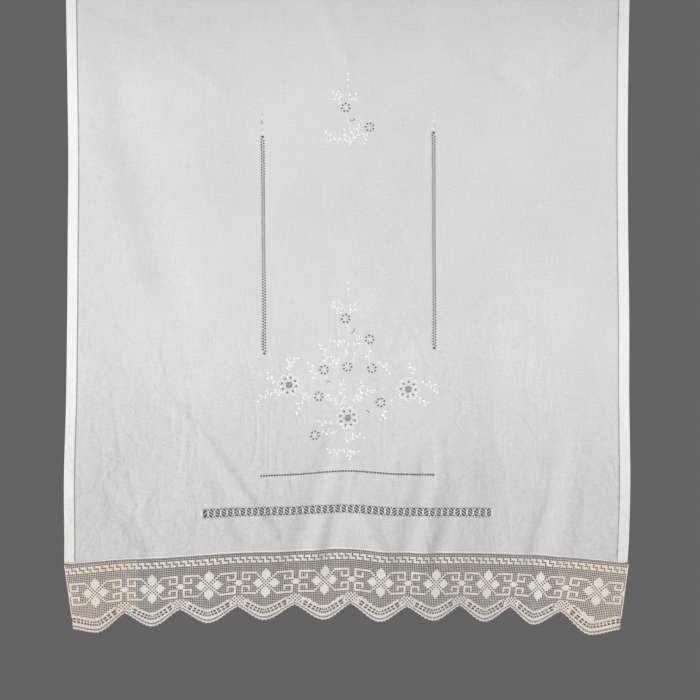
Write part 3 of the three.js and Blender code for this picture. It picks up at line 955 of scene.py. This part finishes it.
# Filet mesh between two rows: holes where the chart is open, pads where it is filled.
def makeNet(name, firstRow, lastRow):
    columns = 10 * lace["columnsPerScallop"] + 1
    rows = lastRow - firstRow
    bm = bmesh.new()
    bmesh.ops.create_grid(bm, x_segments=columns, y_segments=rows, size=0.5)
    weight = bm.verts.layers.deform.verify()
    solid = bm.verts.layers.float.new("solid")
    openCells, pads, beyond = [], [], []
    for face in bm.faces:
        middle = face.calc_center_median()
        k = int((middle.x + 0.5) * columns)
        row = firstRow + int((0.5 - middle.y) * rows)
        r = lace["flowerRow"] - row
        u, depth = clamp(k / lace["columnsPerScallop"], 0, 10), rowDepth(row + 0.5)
        c = k % 32 - 16
        deep = isCutEnd(u) or border["from"] + 0.03 < u % 1 < border["to"] - 0.045
        under = 4.2 if isCutEnd(u) else 2.5
        limit = inwardAt("netIn", u) - under if deep else inwardAt("bandIn", u) - 1
        fill = 0 if isCutEnd(u) and r < -7 else fillAt(c, r)
        if k in (0, columns - 1) or isHeadingFilled(k, r):
            fill = rng.uniform(0.1, 0.7)
        if insideEdge(u, depth) < limit:
            beyond.append(face)
        elif fill:
            pads.append((face, fill))
        else:
            openCells.append(face)
    for corner in bm.verts:
        k, row = round((corner.co.x + 0.5) * columns), firstRow + round((0.5 - corner.co.y) * rows)
        u = laceColumn(k)
        depth = rowDepth(row)
        depth += lace["rowSag"] * math.sin(math.pi * (u % 1)) ** 2 * clamp(depth / 60)
        corner.co = laceHang(u + rng.uniform(-0.001, 0.001), depth + rng.uniform(-0.12, 0.12))
        corner[weight][0] = 1.0
    bmesh.ops.delete(bm, geom=beyond, context="FACES")
    for thread, inEnds in ((lace["thread"], False), (lace["endThread"], True)):
        cells = [face for face in openCells
                 if (abs(face.calc_center_median().x) > lace["endsFrom"] * mm) == inEnds]
        bmesh.ops.inset_individual(bm, faces=cells, thickness=thread * mm, use_even_offset=False)
    for face in openCells:
        for corner in face.verts:
            corner[weight][0] = 0.45
    bmesh.ops.delete(bm, geom=openCells, context="FACES")
    padFaces = [face for face, fill in pads]
    bmesh.ops.inset_individual(bm, faces=padFaces, thickness=0.7 * mm, use_even_offset=False)
    for face, fill in pads:
        for corner in face.verts:
            corner[weight][0] = 1.2 + 0.5 * fill
            corner[solid] = fill
    net = addPiece(name, bm, crochetCotton)
    net.vertex_groups.new(name="thickness")
    addModifier(net, "SOLIDIFY", thickness=1.0 * mm, offset=0, vertex_group="thickness",
                thickness_vertex_group=0.0)
    applyModifiers(net)
    return net


heading = makeNet("lace_heading", 0, lace["headingRows"])
body = makeNet("lace_body", lace["headingRows"], lace["lastRow"])
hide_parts("lace_edging")
print("net", len(heading.data.polygons), len(body.data.polygons))


# A point of the border: a station along the scallop and a distance in from its edge.
def borderHang(u, inward, out=0.0):
    i = min(int(u), 9)
    share = u - i
    x, drop = laceEdge(u)
    before = laceEdge(max(u - 0.01, i + 1e-6))
    after = laceEdge(min(u + 0.01, i + 0.999999))
    slope = math.atan2(after[1] - before[1], after[0] - before[0])
    lean = slope * clamp(min(share, 1 - share) / 0.15)
    stretch = 1 / math.cos(slope - lean)
    if isCutEnd(u):
        x += math.copysign(lace["spread"] / 138 * inward * (1 - 2 * min(share, 1 - share)), u - 5)
    x += math.sin(lean) * inward * stretch
    drop -= math.cos(lean) * inward * stretch
    uneven = 0.5 * noise.noise(Vector((x / 24, drop / 24, 8.2)))
    return Vector((x, -forwardAt(x, drop) - out - uneven, -drop)) * mm


# A strip of the border between two of its lines, with a hole in each cell if asked. Columns are
# counted for a whole scallop.
def borderStrip(name, columns, rows, inner, outer, spans, hole=None, thickness=1.2, overlap=0.3):
    bm = bmesh.new()
    weight = bm.verts.layers.deform.verify()
    solid = bm.verts.layers.float.new("solid")
    for first, last in spans:
        across = round(columns * (last - first))
        made = bmesh.ops.create_grid(bm, x_segments=across, y_segments=rows, size=0.5)
        for corner in made["verts"]:
            u, down = blendValue(first, last, corner.co.x + 0.5), 0.5 - corner.co.y
            inward = blendValue(inwardAt(inner, u) + overlap, inwardAt(outer, u) - overlap, down)
            corner.co = borderHang(u, inward)
            corner[weight][0] = 1.0
            corner[solid] = 0.0 if hole else 0.5
    if hole:
        cells = bm.faces[:]
        bmesh.ops.inset_individual(bm, faces=cells, thickness=1e-5, use_even_offset=False)
        for face in cells:
            middle = face.calc_center_median()
            for corner in face.verts:
                corner.co = middle + (corner.co - middle) * hole
                corner[weight][0] = 0.5
        bmesh.ops.delete(bm, geom=cells, context="FACES")
    strip = addPiece(name, bm, crochetCotton)
    strip.vertex_groups.new(name="thickness")
    addModifier(strip, "SOLIDIFY", thickness=thickness * mm, offset=0, vertex_group="thickness",
                thickness_vertex_group=0.0)
    applyModifiers(strip)
    return strip


# The stretches of the border on every scallop, "inset" in from where the large holes begin and end.
def borderSpans(inset):
    return [(i + border["from"] + inset if i else 0.012, i + (border["to"] - inset if i < 9 else 0.988))
            for i in range(10)]


whole = [(i + 0.0001, i + 0.9999) for i in range(10)]
borders = [
    borderStrip("border_openwork", 16, 2, "holesIn", "bandIn", borderSpans(0), hole=0.68, thickness=1.1),
    borderStrip("border_inner_band", 32, 2, "netIn", "holesIn", borderSpans(-0.02), thickness=1.3),
    borderStrip("border_outer_band", 32, 2, "bandIn", "smallIn", whole, thickness=1.3),
    borderStrip("border_small_holes", 32, 1, "smallIn", "smallOut", whole, hole=0.72, thickness=1.0),
    borderStrip("border_edge", 32, 1, "smallOut", "edge", whole, thickness=1.5),
]


# Picots: a row of small rounded knots along the edge.
def makePicots():
    bm = bmesh.new()
    for i in range(10 * border["picots"]):
        u = (i + 0.5) / border["picots"]
        for corner in bmesh.ops.create_uvsphere(bm, u_segments=8, v_segments=5, radius=1)["verts"]:
            along, out, inward = corner.co.z * 0.017, corner.co.y * 0.8, corner.co.x * 1.9 + 0.7
            corner.co = borderHang(clamp(u + along, int(u) + 0.0001, int(u) + 0.9999), inward, out)
    bmesh.ops.recalc_face_normals(bm, faces=bm.faces[:])
    return addPiece("picots", bm, crochetCotton)


borders.append(makePicots())
print("border")


# Camera, studio light and floor, in metres.
camera = bpy.data.objects.new("camera", bpy.data.cameras.new("camera"))
bpy.context.scene.collection.objects.link(camera)
camera.data.lens, camera.data.sensor_width = 100, 36
camera.location = (0.0044, -3.889, -0.770)
camera.rotation_euler = (math.pi / 2, 0, 0)
bpy.context.scene.camera = camera
bpy.context.scene.view_settings.view_transform = "Standard"

world = bpy.data.worlds.new("studio")
bpy.context.scene.world = world
world.use_nodes = True
world.node_tree.nodes["Background"].inputs["Color"].default_value = (0.128, 0.126, 0.129, 1)


lights = table(
    "name place size power",
    ("left_light", (-5.2, -4.8, -0.2), 1.8, 590), ("right_light", (3.0, -2.4, -0.55), 1.4, 68),
    ("back_light", (1.6, 2.8, 0.2), 1.6, 60),
)


# A soft area light that points at the middle of the curtain.
def addLight(name, place, size, power):
    light = bpy.data.objects.new(name, bpy.data.lights.new(name, "AREA"))
    bpy.context.scene.collection.objects.link(light)
    light.data.size, light.data.energy = size, power
    light.location = place
    light.rotation_euler = (Vector((0, 0, -0.7)) - Vector(place)).to_track_quat("-Z", "Y").to_euler()
    light.visible_camera = False


for row in lights:
    addLight(**row)

floorBm = bmesh.new()
bmesh.ops.create_grid(floorBm, x_segments=1, y_segments=1, size=2.0)
bmesh.ops.translate(floorBm, vec=(0, 0, -1.9), verts=floorBm.verts[:])
floorMesh = bpy.data.meshes.new("floor")
floorBm.to_mesh(floorMesh)
floorBm.free()
floor = bpy.data.objects.new("floor", floorMesh)
bpy.context.scene.collection.objects.link(floor)
floorLook = bpy.data.materials.new("floor")
floorLook.use_nodes = True
floorLook.node_tree.nodes["Principled BSDF"].inputs["Base Color"].default_value = (0.75, 0.75, 0.74, 1)
floorMesh.materials.append(floorLook)
